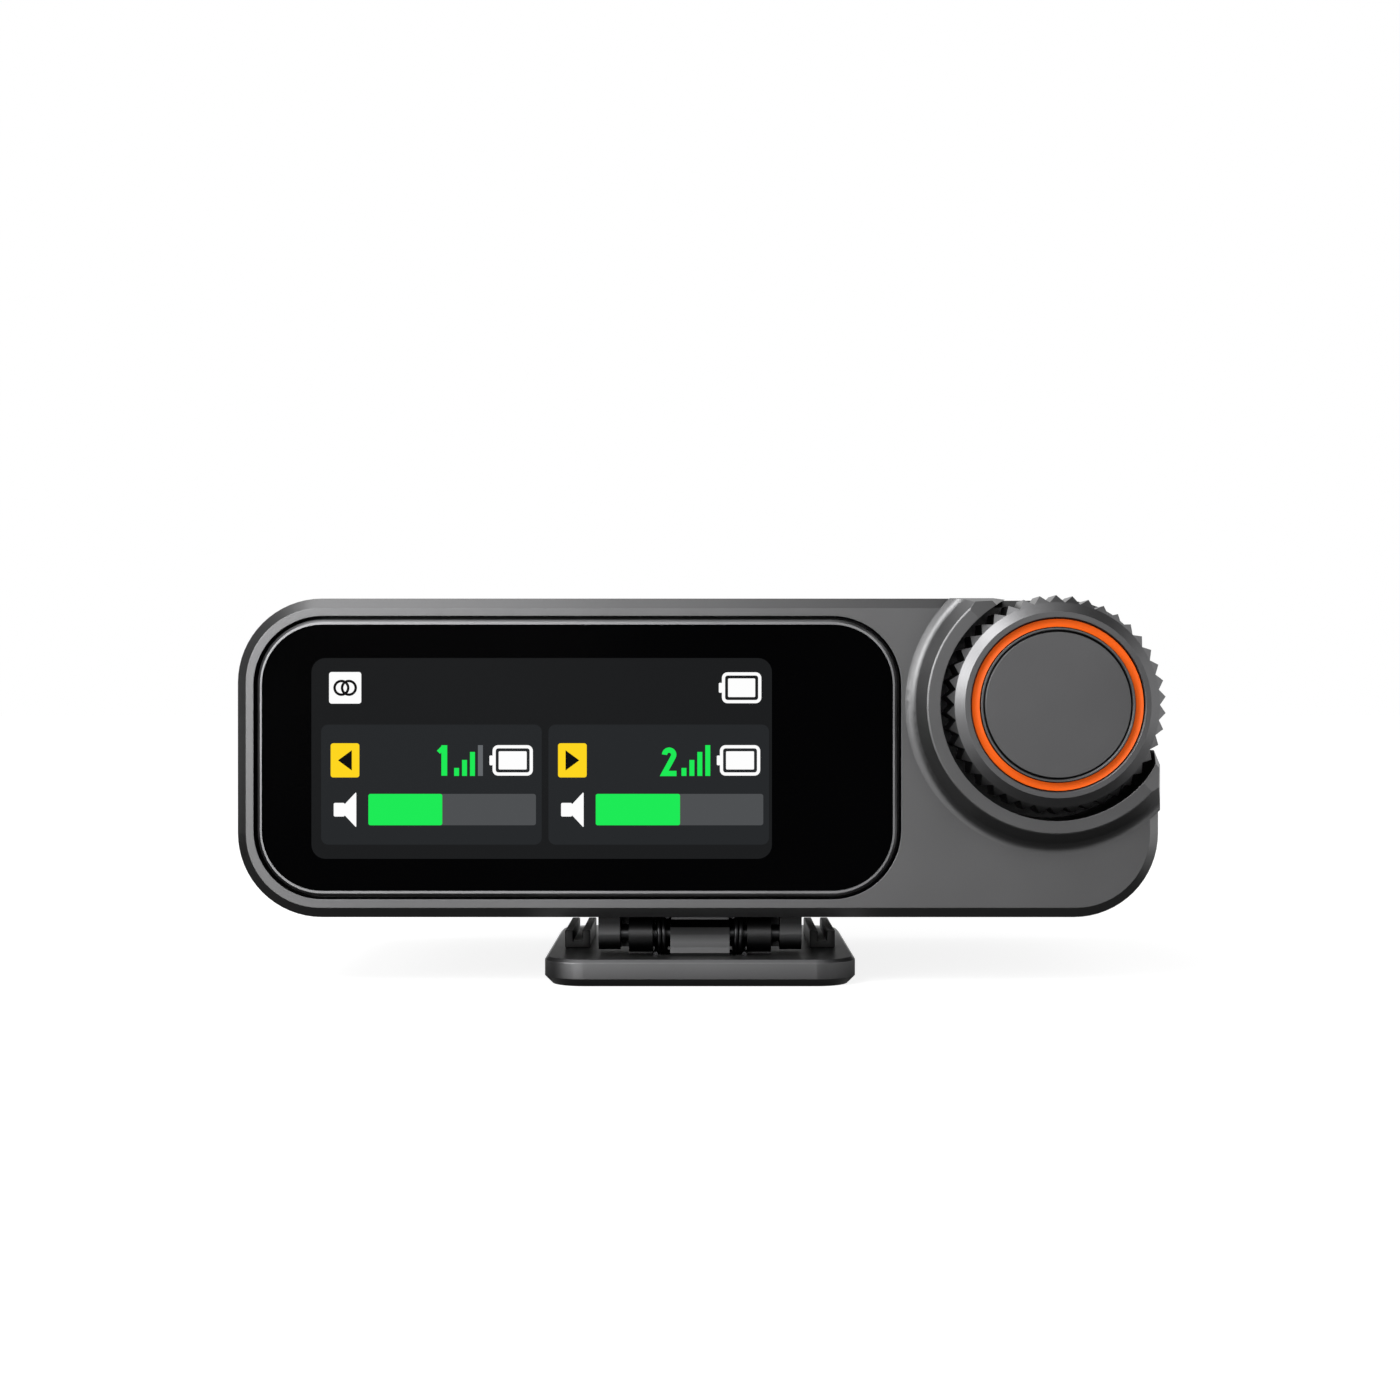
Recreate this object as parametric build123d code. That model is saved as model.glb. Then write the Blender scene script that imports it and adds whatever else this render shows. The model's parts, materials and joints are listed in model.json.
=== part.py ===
from build123d import *
import math
import os

# A pocket-size wireless microphone receiver: a flat rounded body with a display and a
# push-and-turn dial on its front, standing on a sprung clip whose lower jaw is an
# accessory-shoe foot. Millimetres, +Z up, the viewer looks along +Y at the display.
# The origin is the centre of the foot's underside.

# ---------------------------------------------------------------- driving dimensions
BODY_LEFT = -27.20
BODY_RIGHT = 26.96
BODY_BOTTOM = 4.05
BODY_TOP = 22.80
FRONT_Y = -9.70
BODY_DEPTH = 26.0
CORNER_R = 4.95
EDGE_CHAMFER = 0.60
WALL = 1.30
FRONT_WALL = 2.20
SPLIT_Y = 11.50
LIP_T = 0.38

WINDOW_X, WINDOW_Z = -7.18, 13.45
WINDOW_W, WINDOW_H, WINDOW_R = 37.95, 16.60, 4.05
TRIM_W, TRIM_H, TRIM_R = 37.47, 16.20, 3.83
GLASS_W, GLASS_H, GLASS_R = 36.93, 15.58, 3.54
GLASS_T = 1.0
TRIM_PROUD = 0.10
SCREEN_X, SCREEN_Z = -9.27, 13.41
SCREEN_W, SCREEN_H = 29.4, 12.5

DIAL_X, DIAL_Z = 20.75, 16.55
POCKET_R = 6.77
POCKET_DEPTH = 2.75
POCKET_FLOOR = 1.15
POCKET_EDGE = 0.43
RIM_PROUD = 0.90
RIM_EDGE_W, RIM_EDGE_H = 0.08, 0.035
COVE_R = 8.74
COVE_FILLET = 0.85
COVE_SLOPE = 46.5
TRIM_CUT_SUM = 39.50
TRIM_CUT_LEAN = 0.50
EASE_SUM, EASE_LEAN = 37.8, 5.6
RIM_SIDE_W, RIM_SIDE_H = 0.28, 0.95

DIAL_TEETH = 42
TOOTH_TIP_R = 6.40
TOOTH_ROOT_R = 5.96
DIAL_FACE_R = 5.407
DIAL_BACK = 2.10
DIAL_SHOULDER_PROUD = 1.08
TOOTH_SLOPE = 0.44
ACCENT_DROP, ACCENT_DISH = 0.18, 0.07
DIAL_PROUD = 1.40
GROOVE_OUT_R, GROOVE_IN_R = 5.04, 4.475
ACCENT_OUT_R, ACCENT_IN_R = 4.985, 4.535
CAP_R = 4.27
SHAFT_R = 1.50
SLEEVE_R = 2.35
NECK_R = 3.15
ENCODER_R = 4.70
DETENTS = 20
DETENT_R = 3.40

FOOT_W, FOOT_L, FOOT_T = 18.5, 19.4, 1.6
FOOT_CORNER_R = 2.4
HINGE_Y, HINGE_Z = -6.0, 2.80
PIN_R = 0.50
CHEEK_IN, CHEEK_OUT, CHEEK_R = 4.78, 6.09, 1.0
EAR_IN, EAR_OUT, EAR_R, EAR_ROOT = 2.83, 4.26, 1.15, 0.35
LUG_HALF = 1.77
FLANGE_X = 7.0
FLANGE_FRONT, FLANGE_BACK = -8.1, 4.1
FLANGE_T = 0.7
STOP_PAD_DROP = 0.25
WALL_FRONT = -4.22
WIRE_R, COIL_R, COIL_PITCH = 0.18, 1.12, 0.33
GRIP_IN, GRIP_OUT = 6.73, 8.29
GRIP_FRONT, GRIP_BACK = -3.7, 4.0
GRIP_RIB_W, GRIP_RIB_H, GRIP_PAD_H = 0.46, 1.10, 0.43

BOARD_Z = 8.0
BOARD_T = 1.0
JACK_BORE_R = 1.80
COLLAR_R = 2.95
JACK_HALF = 3.0
JACK_H = 5.2
LINE_OUT_Y = -1.2
HEADPHONE_Y = 6.0
USB_Y = 4.6
USB_W, USB_H, USB_SKIN = 8.94, 3.26, 0.30
BUTTON_X, BUTTON_Y = -16.5, 1.0
BUTTON_L, BUTTON_W = 7.40, 2.80
LIGHT_R, LIGHT_STEP = 0.45, 5.9
FLEX_X, FLEX_HALF, FLEX_T = -7.0, 4.0, 0.2
CONNECTOR_BACK, CONNECTOR_H = -3.4, 0.7
BUTTON_BOARD_TOP = 19.2
BATTERY_BOTTOM, BATTERY_TOP = 14.9, 21.1

CONTACT_X, CONTACT_Z = 5.5, 11.7
CONTACT_HALF_H = 1.5
PAD_R = 0.7
PAD_SPOTS = [-3.9, -1.3, 1.3, 3.9]

BOSS_R = 1.5
SCREW_R, SCREW_HEAD_R = 0.7, 1.2
COUNTERBORE = 0.95
SMALL_SCREW_R = 0.6
BRACKET_SCREW_R, BRACKET_HEAD_R = 0.8, 1.5

RUN_FIT = 0.03
HAIR = 0.02

# ------------------------------------------------------------------ derived places
BACK_Y = FRONT_Y + BODY_DEPTH
BODY_X = (BODY_LEFT + BODY_RIGHT) / 2
BODY_Z = (BODY_BOTTOM + BODY_TOP) / 2
BODY_W = BODY_RIGHT - BODY_LEFT
BODY_H = BODY_TOP - BODY_BOTTOM
IN_LEFT, IN_RIGHT = BODY_LEFT + WALL, BODY_RIGHT - WALL
IN_BOTTOM, IN_TOP = BODY_BOTTOM + WALL, BODY_TOP - WALL
IN_FRONT, IN_BACK = FRONT_Y + FRONT_WALL, BACK_Y - WALL
IN_R = CORNER_R - WALL
POCKET_Y = FRONT_Y + POCKET_DEPTH
CUP_Y = POCKET_Y + POCKET_FLOOR
DIAL_TOP = FRONT_Y - DIAL_PROUD
DIAL_SHOULDER = FRONT_Y - DIAL_SHOULDER_PROUD
DIAL_REAR = FRONT_Y + DIAL_BACK
ENCODER_REAR = CUP_Y + 4.4
BOARD_TOP = BOARD_Z + BOARD_T
JACK_Z = BOARD_TOP + JACK_H / 2
FLANGE_TOP = BODY_BOTTOM + FLANGE_T
PANEL_Y = FRONT_Y + GLASS_T
CARRIER_Y = PANEL_Y + 1.4
FLEX_Y = CARRIER_Y + 0.8
BOSS_SHIFT = 2.3 / math.sqrt(2)
CORNER_SPOTS = [
    (x, z)
    for x in (BODY_LEFT + CORNER_R - BOSS_SHIFT, BODY_RIGHT - CORNER_R + BOSS_SHIFT)
    for z in (BODY_BOTTOM + CORNER_R - BOSS_SHIFT, BODY_TOP - CORNER_R + BOSS_SHIFT)
]
BOARD_SPOTS = [(-9.5, 8.8), (16.5, -3.2), (15.5, 8.8)]
BRACKET_SPOTS = [(-3.6, 1.6), (3.6, 1.6)]
BUTTON_POSTS = [(BUTTON_X + dx, BUTTON_Y + dy) for dx in (-3.0, 3.0) for dy in (-2.7, 2.7)]


# --------------------------------------------------------------------- small shapes
def block(x0, x1, y0, y1, z0, z1):
    """A box given by its two corners."""
    return Pos((x0 + x1) / 2, (y0 + y1) / 2, (z0 + z1) / 2) * Box(x1 - x0, y1 - y0, z1 - z0)


def rod_x(y, z, radius, x0, x1):
    return Pos((x0 + x1) / 2, y, z) * Rot(0, 90, 0) * Cylinder(radius, x1 - x0)


def rod_y(x, z, radius, y0, y1):
    return Pos(x, (y0 + y1) / 2, z) * Rot(90, 0, 0) * Cylinder(radius, y1 - y0)


def rod_z(x, y, radius, z0, z1):
    return Pos(x, y, (z0 + z1) / 2) * Cylinder(radius, z1 - z0)


def front_plane(x, y, z):
    """A sketch plane facing the viewer: local x is +X and local y is +Z."""
    return Plane(origin=(x, y, z), x_dir=(1, 0, 0), z_dir=(0, -1, 0))


def slab_y(x, z, width, height, radius, y0, y1):
    """A rounded rectangle in the XZ plane, from y0 back to y1."""
    return extrude(front_plane(x, y1, z) * RectangleRounded(width, height, radius), y1 - y0)


def pill_z(x, y, length, width, z0, z1):
    return extrude(Pos(x, y, z0) * SlotOverall(length, width), z1 - z0)


def ring_y(x, z, outer, inner, y0, y1):
    return rod_y(x, z, outer, y0, y1) - rod_y(x, z, inner, y0 - 1, y1 + 1)


def outline(inset, y0, y1):
    """The body's outline, moved inwards by inset, between two depths."""
    return slab_y(BODY_X, BODY_Z, BODY_W - 2 * inset, BODY_H - 2 * inset, CORNER_R - inset, y0, y1)


def spin_about_dial(points_and_arcs):
    """Turns a profile face, drawn as radius and Y, about the dial's axis."""
    axis = Axis((DIAL_X, 0, DIAL_Z), (0, 1, 0))
    return revolve(Pos(DIAL_X, 0, DIAL_Z) * points_and_arcs, axis, 360)


# --------------------------------------------------------------------------- housing
def beyond(corner_sum, lean):
    """All that lies up and to the right of a plane across the corner. The plane passes
    where X plus Z is corner_sum at the rim's top, and leans further out below it."""
    middle = corner_sum / 2
    face = Plane(origin=(middle, FRONT_Y - RIM_PROUD, middle), z_dir=(1, -lean, 1))
    return extrude(face * Rectangle(60, 60), 30)


def pocket_tool(y1):
    """What the dial pocket takes away: a round hole, and a slanted cut that trims both
    thin ends of the rim where the hole runs out through the top and the right side."""
    hole = rod_y(DIAL_X, DIAL_Z, POCKET_R, FRONT_Y - 3, y1)
    return hole + (beyond(TRIM_CUT_SUM, TRIM_CUT_LEAN) & block(0, 60, FRONT_Y - 3, y1, 0, 60))


def dial_rim():
    """The raised rim round the pocket. A steep cone and a fillet lead down to the face,
    its sides lean in where it meets the body's outline, and both its ends are eased."""
    top = FRONT_Y - RIM_PROUD
    start = (COVE_R, FRONT_Y)
    slope = math.radians(COVE_SLOPE)
    foot_r = COVE_R - COVE_FILLET * math.sin(slope)
    foot = (foot_r, FRONT_Y - COVE_FILLET * (1 - math.cos(slope)))
    cove = TangentArc(start, foot, tangent=(-1, 0))
    end_y = top + RIM_EDGE_H
    end_r = foot_r - (foot[1] - end_y) / math.tan(slope)
    rest = Polyline(
        foot, (end_r, end_y), (end_r - RIM_EDGE_W, top), (TOOTH_ROOT_R, top),
        (TOOTH_ROOT_R, FRONT_Y + 0.5), (COVE_R, FRONT_Y + 0.5), start,
    )
    ring = spin_about_dial(make_face([cove, rest]))
    block_top = outline(0, top, FRONT_Y + 1).faces().sort_by(Axis.Y)[0]
    sides = chamfer(block_top.edges(), RIM_SIDE_W, RIM_SIDE_H, reference=block_top)
    return (ring & sides) - beyond(EASE_SUM, EASE_LEAN)


def front_housing():
    nose = chamfer(
        outline(0, FRONT_Y, POCKET_Y + POCKET_EDGE).faces().sort_by(Axis.Y)[0].edges(), EDGE_CHAMFER
    )
    nose = nose + dial_rim() - pocket_tool(POCKET_Y + 1)
    barrel = chamfer(outline(0, POCKET_Y, SPLIT_Y).faces().sort_by(Axis.Y)[0].edges(), POCKET_EDGE)
    cup = rod_y(DIAL_X, DIAL_Z, POCKET_R + POCKET_FLOOR, IN_FRONT, CUP_Y)
    cup_solid = cup & outline(0.5, IN_FRONT, CUP_Y)
    cup_solid = cup_solid - (pocket_tool(POCKET_Y) & block(0, 60, FRONT_Y - 3, POCKET_Y, 0, 60))
    shell = nose + barrel - outline(WALL, IN_FRONT, SPLIT_Y + 1) + cup_solid

    shell -= slab_y(WINDOW_X, WINDOW_Z, WINDOW_W, WINDOW_H, WINDOW_R, FRONT_Y - 1, FRONT_Y + WALL)
    ledge_x = WINDOW_X + WINDOW_W / 2 - 0.9
    shell -= slab_y(
        (IN_LEFT + ledge_x) / 2, BODY_Z, ledge_x - IN_LEFT, IN_TOP - IN_BOTTOM, IN_R,
        FRONT_Y, IN_FRONT + 0.1,
    )
    shell -= rod_y(DIAL_X, DIAL_Z, NECK_R, POCKET_Y - 0.1, CUP_Y + 0.1)

    for x, z in CORNER_SPOTS:
        shell += rod_y(x, z, BOSS_R, 3.5, SPLIT_Y)
        shell -= rod_y(x, z, SCREW_R, 6.0, SPLIT_Y + 1)
    for x, y in BOARD_SPOTS:
        shell += rod_z(x, y, BOSS_R, IN_BOTTOM - 0.2, BOARD_Z)
        shell -= rod_z(x, y, SMALL_SCREW_R, IN_BOTTOM + 0.5, BOARD_Z + 1)
    for x, y in BUTTON_POSTS:
        shell += rod_z(x, y, 0.6, BUTTON_BOARD_TOP, IN_TOP + 0.2)

    shell -= block(-FLANGE_X, FLANGE_X, FLANGE_FRONT, FLANGE_BACK, BODY_BOTTOM - 1, FLANGE_TOP)
    for x, y in BRACKET_SPOTS:
        shell += rod_z(x, y, BOSS_R, FLANGE_TOP, 7.4)
        shell -= rod_z(x, y, BRACKET_SCREW_R, BODY_BOTTOM - 1, 6.9)

    for y in (LINE_OUT_Y, HEADPHONE_Y):
        shell -= rod_x(y, JACK_Z, COLLAR_R, BODY_LEFT - 1, IN_LEFT + 1)
    shell -= usb_outline(0.08, IN_RIGHT - 1, BODY_RIGHT + 1)
    shell -= pill_z(BUTTON_X, BUTTON_Y, BUTTON_L, BUTTON_W, IN_TOP - 0.5, BODY_TOP + 1)
    shell -= rod_z(BUTTON_X + LIGHT_STEP, BUTTON_Y, LIGHT_R, IN_TOP - 0.5, BODY_TOP + 1)
    return shell


def rear_housing():
    cover = chamfer(outline(0, SPLIT_Y, BACK_Y).faces().sort_by(Axis.Y)[-1].edges(), EDGE_CHAMFER)
    cover -= outline(WALL, SPLIT_Y - 1, IN_BACK)
    lip = outline(WALL + RUN_FIT, SPLIT_Y - 1.0, SPLIT_Y) + outline(WALL - 0.2, SPLIT_Y, SPLIT_Y + 1.0)
    lip -= outline(WALL + LIP_T, SPLIT_Y - 2, SPLIT_Y + 2)
    for x, z in CORNER_SPOTS:
        lip -= rod_y(x, z, BOSS_R + 0.25, SPLIT_Y - 2, SPLIT_Y + 2)
    cover += lip
    for x, z in CORNER_SPOTS:
        cover += rod_y(x, z, BOSS_R, SPLIT_Y, IN_BACK + 0.1)
        cover -= rod_y(x, z, SCREW_R + 0.1, SPLIT_Y - 1, BACK_Y + 1)
        cover -= rod_y(x, z, SCREW_HEAD_R + 0.1, BACK_Y - COUNTERBORE, BACK_Y + 1)
    return cover - contact_opening(IN_BACK - 1, BACK_Y + 1)


def contact_opening(y0, y1):
    return block(-CONTACT_X, CONTACT_X, y0, y1, CONTACT_Z - CONTACT_HALF_H, CONTACT_Z + CONTACT_HALF_H)


def corner_screw(x, z):
    head_y = BACK_Y - COUNTERBORE
    screw = rod_y(x, z, SCREW_R, SPLIT_Y - 4.5, head_y)
    screw += rod_y(x, z, SCREW_HEAD_R, head_y, BACK_Y - 0.3)
    recess = extrude(front_plane(x, BACK_Y, z) * RegularPolygon(0.5, 6), 0.75)
    return screw - recess


# --------------------------------------------------------------------------- display
def display_trim():
    front = FRONT_Y - TRIM_PROUD
    ring = slab_y(WINDOW_X, WINDOW_Z, TRIM_W, TRIM_H, TRIM_R, front, FRONT_Y + WALL)
    ring = chamfer(ring.faces().sort_by(Axis.Y)[0].edges(), 0.16)
    clear = 0.01
    bore = slab_y(
        WINDOW_X, WINDOW_Z, GLASS_W + 2 * clear, GLASS_H + 2 * clear, GLASS_R + clear,
        front - 1, FRONT_Y + 3,
    )
    return ring - bore


def cover_glass():
    return slab_y(WINDOW_X, WINDOW_Z, GLASS_W, GLASS_H, GLASS_R, FRONT_Y, FRONT_Y + GLASS_T)


def display_gasket():
    y1 = FRONT_Y + WALL
    frame = slab_y(WINDOW_X, WINDOW_Z, GLASS_W, GLASS_H, GLASS_R, PANEL_Y, y1)
    band = 1.4
    inside = slab_y(
        WINDOW_X, WINDOW_Z, GLASS_W - 2 * band, GLASS_H - 2 * band, 1.0, PANEL_Y - 1, y1 + 1
    )
    return frame - inside


def display_panel():
    return slab_y(SCREEN_X, SCREEN_Z, SCREEN_W, SCREEN_H, 1.0, PANEL_Y, CARRIER_Y)


def display_carrier():
    left, right = IN_LEFT + 0.3, 10.3
    height = IN_TOP - IN_BOTTOM - 0.5
    plate = slab_y((left + right) / 2, BODY_Z, right - left, height, 3.0, CARRIER_Y, FLEX_Y)
    return plate - slab_y(FLEX_X, 16.0, 2 * FLEX_HALF + 2, 1.2, 0.5, CARRIER_Y - 1, FLEX_Y + 1)


def display_flex():
    z0 = BOARD_TOP + CONNECTOR_H
    down = block(FLEX_X - FLEX_HALF, FLEX_X + FLEX_HALF, FLEX_Y, FLEX_Y + FLEX_T, z0, 16.6)
    along = block(
        FLEX_X - FLEX_HALF, FLEX_X + FLEX_HALF, FLEX_Y + FLEX_T, CONNECTOR_BACK, z0, z0 + FLEX_T
    )
    return down + along


def flex_connector():
    x0, x1 = FLEX_X - FLEX_HALF - 0.5, FLEX_X + FLEX_HALF + 0.5
    return block(x0, x1, CONNECTOR_BACK - 1.6, CONNECTOR_BACK, BOARD_TOP, BOARD_TOP + CONNECTOR_H)


# ----------------------------------------------------------------------- electronics
def main_board():
    board = block(-25.3, 25.1, -5.5, 14.2, BOARD_Z, BOARD_TOP)
    for x, z in CORNER_SPOTS:
        if z < BODY_Z:
            board -= rod_y(x, z, BOSS_R + 0.3, 3.0, 15.5)
    for x, y in BOARD_SPOTS:
        board -= rod_z(x, y, SMALL_SCREW_R + 0.1, BOARD_Z - 1, BOARD_TOP + 1)
    return board


def board_screw(x, y):
    screw = rod_z(x, y, SMALL_SCREW_R, IN_BOTTOM + 0.8, BOARD_TOP)
    screw += rod_z(x, y, SMALL_SCREW_R + 0.5, BOARD_TOP, BOARD_TOP + 0.6)
    return screw - extrude(Pos(x, y, BOARD_TOP + 0.3) * RegularPolygon(0.5, 6), 1)


def rf_shield():
    x0, x1, y0, y1, top, skin = -7.0, 6.0, -2.0, 10.0, BOARD_TOP + 1.8, 0.2
    can = block(x0, x1, y0, y1, BOARD_TOP, top)
    return can - block(x0 + skin, x1 - skin, y0 + skin, y1 - skin, BOARD_TOP - 1, top - skin)


def jack(y):
    """A 3.5 mm socket: a block on the board with a bore as deep as the plug is long."""
    body = block(IN_LEFT + 0.3, -12.4, y - JACK_HALF, y + JACK_HALF, BOARD_TOP, BOARD_TOP + JACK_H)
    return body - rod_x(y, JACK_Z, JACK_BORE_R, BODY_LEFT, BODY_LEFT + 14.1)


def jack_collar(y):
    ring = rod_x(y, JACK_Z, COLLAR_R, BODY_LEFT + 0.1, IN_LEFT + 0.3)
    return ring - rod_x(y, JACK_Z, JACK_BORE_R, BODY_LEFT - 1, IN_LEFT + 1)


def usb_outline(grow, x0, x1):
    """The USB-C socket's outline, a slot that stands on the board, grown by grow."""
    width, height = USB_W + 2 * grow, USB_H + 2 * grow
    face = Plane(origin=(x0, USB_Y, BOARD_TOP + USB_H / 2), x_dir=(0, 1, 0), z_dir=(1, 0, 0))
    return extrude(face * SlotOverall(width, height), x1 - x0)


def usb_shell():
    x0, x1 = BODY_RIGHT - 7.8, BODY_RIGHT - 0.1
    return usb_outline(0, x0, x1) - usb_outline(-USB_SKIN, x0 + 0.6, x1 + 1)


def usb_tongue():
    x0 = BODY_RIGHT - 7.2
    middle = BOARD_TOP + USB_H / 2
    return block(x0, x0 + 5.6, USB_Y - 3.3, USB_Y + 3.3, middle - 0.35, middle + 0.35)


def battery_cell():
    cell = block(-11.0, 14.5, -3.9, 14.1, BATTERY_BOTTOM, BATTERY_TOP)
    return fillet(cell.edges().filter_by(Axis.Y), 1.4)


def power_button():
    """A pill that rises through the top wall, with a lip that keeps it in and a nose that
    presses the switch."""
    seat = IN_TOP - 2 * HAIR
    lip_bottom = IN_TOP - 0.60
    gap = 2 * 0.05
    cap = pill_z(BUTTON_X, BUTTON_Y, BUTTON_L - gap, BUTTON_W - gap, seat, BODY_TOP - 2 * HAIR)
    cap = chamfer(cap.faces().sort_by(Axis.Z)[-1].edges(), 0.15)
    lip = pill_z(BUTTON_X, BUTTON_Y, BUTTON_L + 1.0, BUTTON_W + 0.8, lip_bottom, seat)
    return cap + lip + rod_z(BUTTON_X, BUTTON_Y, 0.8, lip_bottom - 0.30, lip_bottom)


def power_switch():
    x0, x1 = BUTTON_X - 1.5, BUTTON_X + 1.5
    case = block(x0, x1, BUTTON_Y - 1.3, BUTTON_Y + 1.3, BUTTON_BOARD_TOP, BUTTON_BOARD_TOP + 0.9)
    return case + rod_z(BUTTON_X, BUTTON_Y, 0.7, BUTTON_BOARD_TOP + 0.9, BUTTON_BOARD_TOP + 1.05)


def button_board():
    x0, x1 = BUTTON_X - 4.2, BUTTON_X + 4.2
    return block(x0, x1, BUTTON_Y - 3.5, BUTTON_Y + 3.5, BUTTON_BOARD_TOP - 0.6, BUTTON_BOARD_TOP)


def contact_block():
    insert = contact_opening(IN_BACK - 0.1, BACK_Y - 0.2)
    for x in PAD_SPOTS:
        insert -= rod_y(x, CONTACT_Z, PAD_R, IN_BACK - 1, BACK_Y + 1)
    return insert


def contact_pad(x):
    return rod_y(x, CONTACT_Z, PAD_R, IN_BACK - 0.3, BACK_Y - 0.15)


def antenna(x):
    return block(x - 6.0, x + 6.0, IN_BACK - 0.15, IN_BACK, 14.6, 20.0)


# ------------------------------------------------------------------------------ dial
def toothed_rim(y0, y1):
    """A ring of sharp triangular teeth, one tip at twelve o'clock, that slope at the front."""
    step = math.pi / DIAL_TEETH
    points = []
    for i in range(2 * DIAL_TEETH):
        r = TOOTH_TIP_R if i % 2 == 0 else TOOTH_ROOT_R
        points.append((r * math.sin(i * step), r * math.cos(i * step)))
    face = make_face(Polyline(*points, close=True)) - Circle(TOOTH_ROOT_R - 0.3)
    teeth = extrude(front_plane(DIAL_X, y1, DIAL_Z) * face, y1 - y0)
    reach = 2 * (TOOTH_TIP_R - TOOTH_ROOT_R)
    cone = Polyline(
        (1.0, y0), (TOOTH_ROOT_R, y0), (TOOTH_ROOT_R + reach, y0 + 2 * TOOTH_SLOPE),
        (TOOTH_ROOT_R + reach, y1), (1.0, y1),
        close=True,
    )
    return teeth & spin_about_dial(make_face(cone))


def dial_wheel():
    edge = 0.06
    profile = Polyline(
        (SHAFT_R, DIAL_REAR), (TOOTH_ROOT_R, DIAL_REAR), (TOOTH_ROOT_R, DIAL_SHOULDER),
        (DIAL_FACE_R, DIAL_TOP), (GROOVE_OUT_R + edge, DIAL_TOP), (GROOVE_OUT_R, DIAL_TOP + edge),
        (GROOVE_OUT_R, DIAL_TOP + 0.6), (GROOVE_IN_R, DIAL_TOP + 0.6), (GROOVE_IN_R, DIAL_TOP),
        (CAP_R + 0.05 + edge, DIAL_TOP), (CAP_R + 0.05, DIAL_TOP + edge),
        (CAP_R + 0.05, DIAL_TOP + 0.8), (SHAFT_R, DIAL_TOP + 0.8),
        close=True,
    )
    return spin_about_dial(make_face(profile)) + toothed_rim(DIAL_SHOULDER, DIAL_REAR)


def dial_cap():
    cap = rod_y(DIAL_X, DIAL_Z, CAP_R, DIAL_TOP + 0.02, DIAL_TOP + 0.8)
    return chamfer(cap.faces().sort_by(Axis.Y)[0].edges(), 0.06)


def dial_accent_ring():
    """The orange ring lies a little below the rims on both sides and is slightly dished."""
    front = DIAL_TOP + ACCENT_DROP
    middle = ((ACCENT_IN_R + ACCENT_OUT_R) / 2, front + ACCENT_DISH)
    dish = ThreePointArc((ACCENT_IN_R, front), middle, (ACCENT_OUT_R, front))
    rest = Polyline(
        (ACCENT_OUT_R, front), (ACCENT_OUT_R, DIAL_TOP + 0.6),
        (ACCENT_IN_R, DIAL_TOP + 0.6), (ACCENT_IN_R, front),
    )
    return spin_about_dial(make_face([dish, rest]))


def encoder_body():
    """The encoder's can, glued behind the cup, with a neck that guides the sleeve."""
    body = rod_y(DIAL_X, DIAL_Z, ENCODER_R, CUP_Y, ENCODER_REAR)
    body += rod_y(DIAL_X, DIAL_Z, NECK_R - HAIR, POCKET_Y + 0.05, CUP_Y)
    body -= rod_y(DIAL_X, DIAL_Z, SLEEVE_R + RUN_FIT, POCKET_Y - 1, CUP_Y + 3)
    return body - rod_y(DIAL_X, DIAL_Z, 3.9, CUP_Y + 2.2, ENCODER_REAR + 1)


def encoder_sleeve():
    """Slides in the encoder with the dial when it is pressed, and doesn't turn."""
    flange_y = CUP_Y + 2.2 + HAIR
    tube = rod_y(DIAL_X, DIAL_Z, SLEEVE_R, DIAL_REAR + 0.2, flange_y + 0.5)
    tube += rod_y(DIAL_X, DIAL_Z, 3.6, flange_y, flange_y + 0.5)
    return tube - rod_y(DIAL_X, DIAL_Z, SHAFT_R + RUN_FIT, DIAL_REAR - 1, flange_y + 2)


def dial_shaft():
    return rod_y(DIAL_X, DIAL_Z, SHAFT_R, DIAL_TOP + 0.8, ENCODER_REAR - 0.8)


def detent_rotor():
    y0 = CUP_Y + 2.8
    disc = ring_y(DIAL_X, DIAL_Z, DETENT_R, SHAFT_R, y0, y0 + 0.6)
    step = 2 * math.pi / DETENTS
    for i in range(DETENTS):
        x = DIAL_X + DETENT_R * math.cos(i * step)
        z = DIAL_Z + DETENT_R * math.sin(i * step)
        disc -= rod_y(x, z, 0.25, y0 - 1, y0 + 2)
    return disc


# ------------------------------------------------------------------------------ clip
def side_profile(points):
    """A face in the YZ plane through the origin, drawn as Y and Z."""
    plane = Plane(origin=(0, 0, 0), x_dir=(0, 1, 0), z_dir=(1, 0, 0))
    return plane * make_face(Polyline(*points, close=True))


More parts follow.
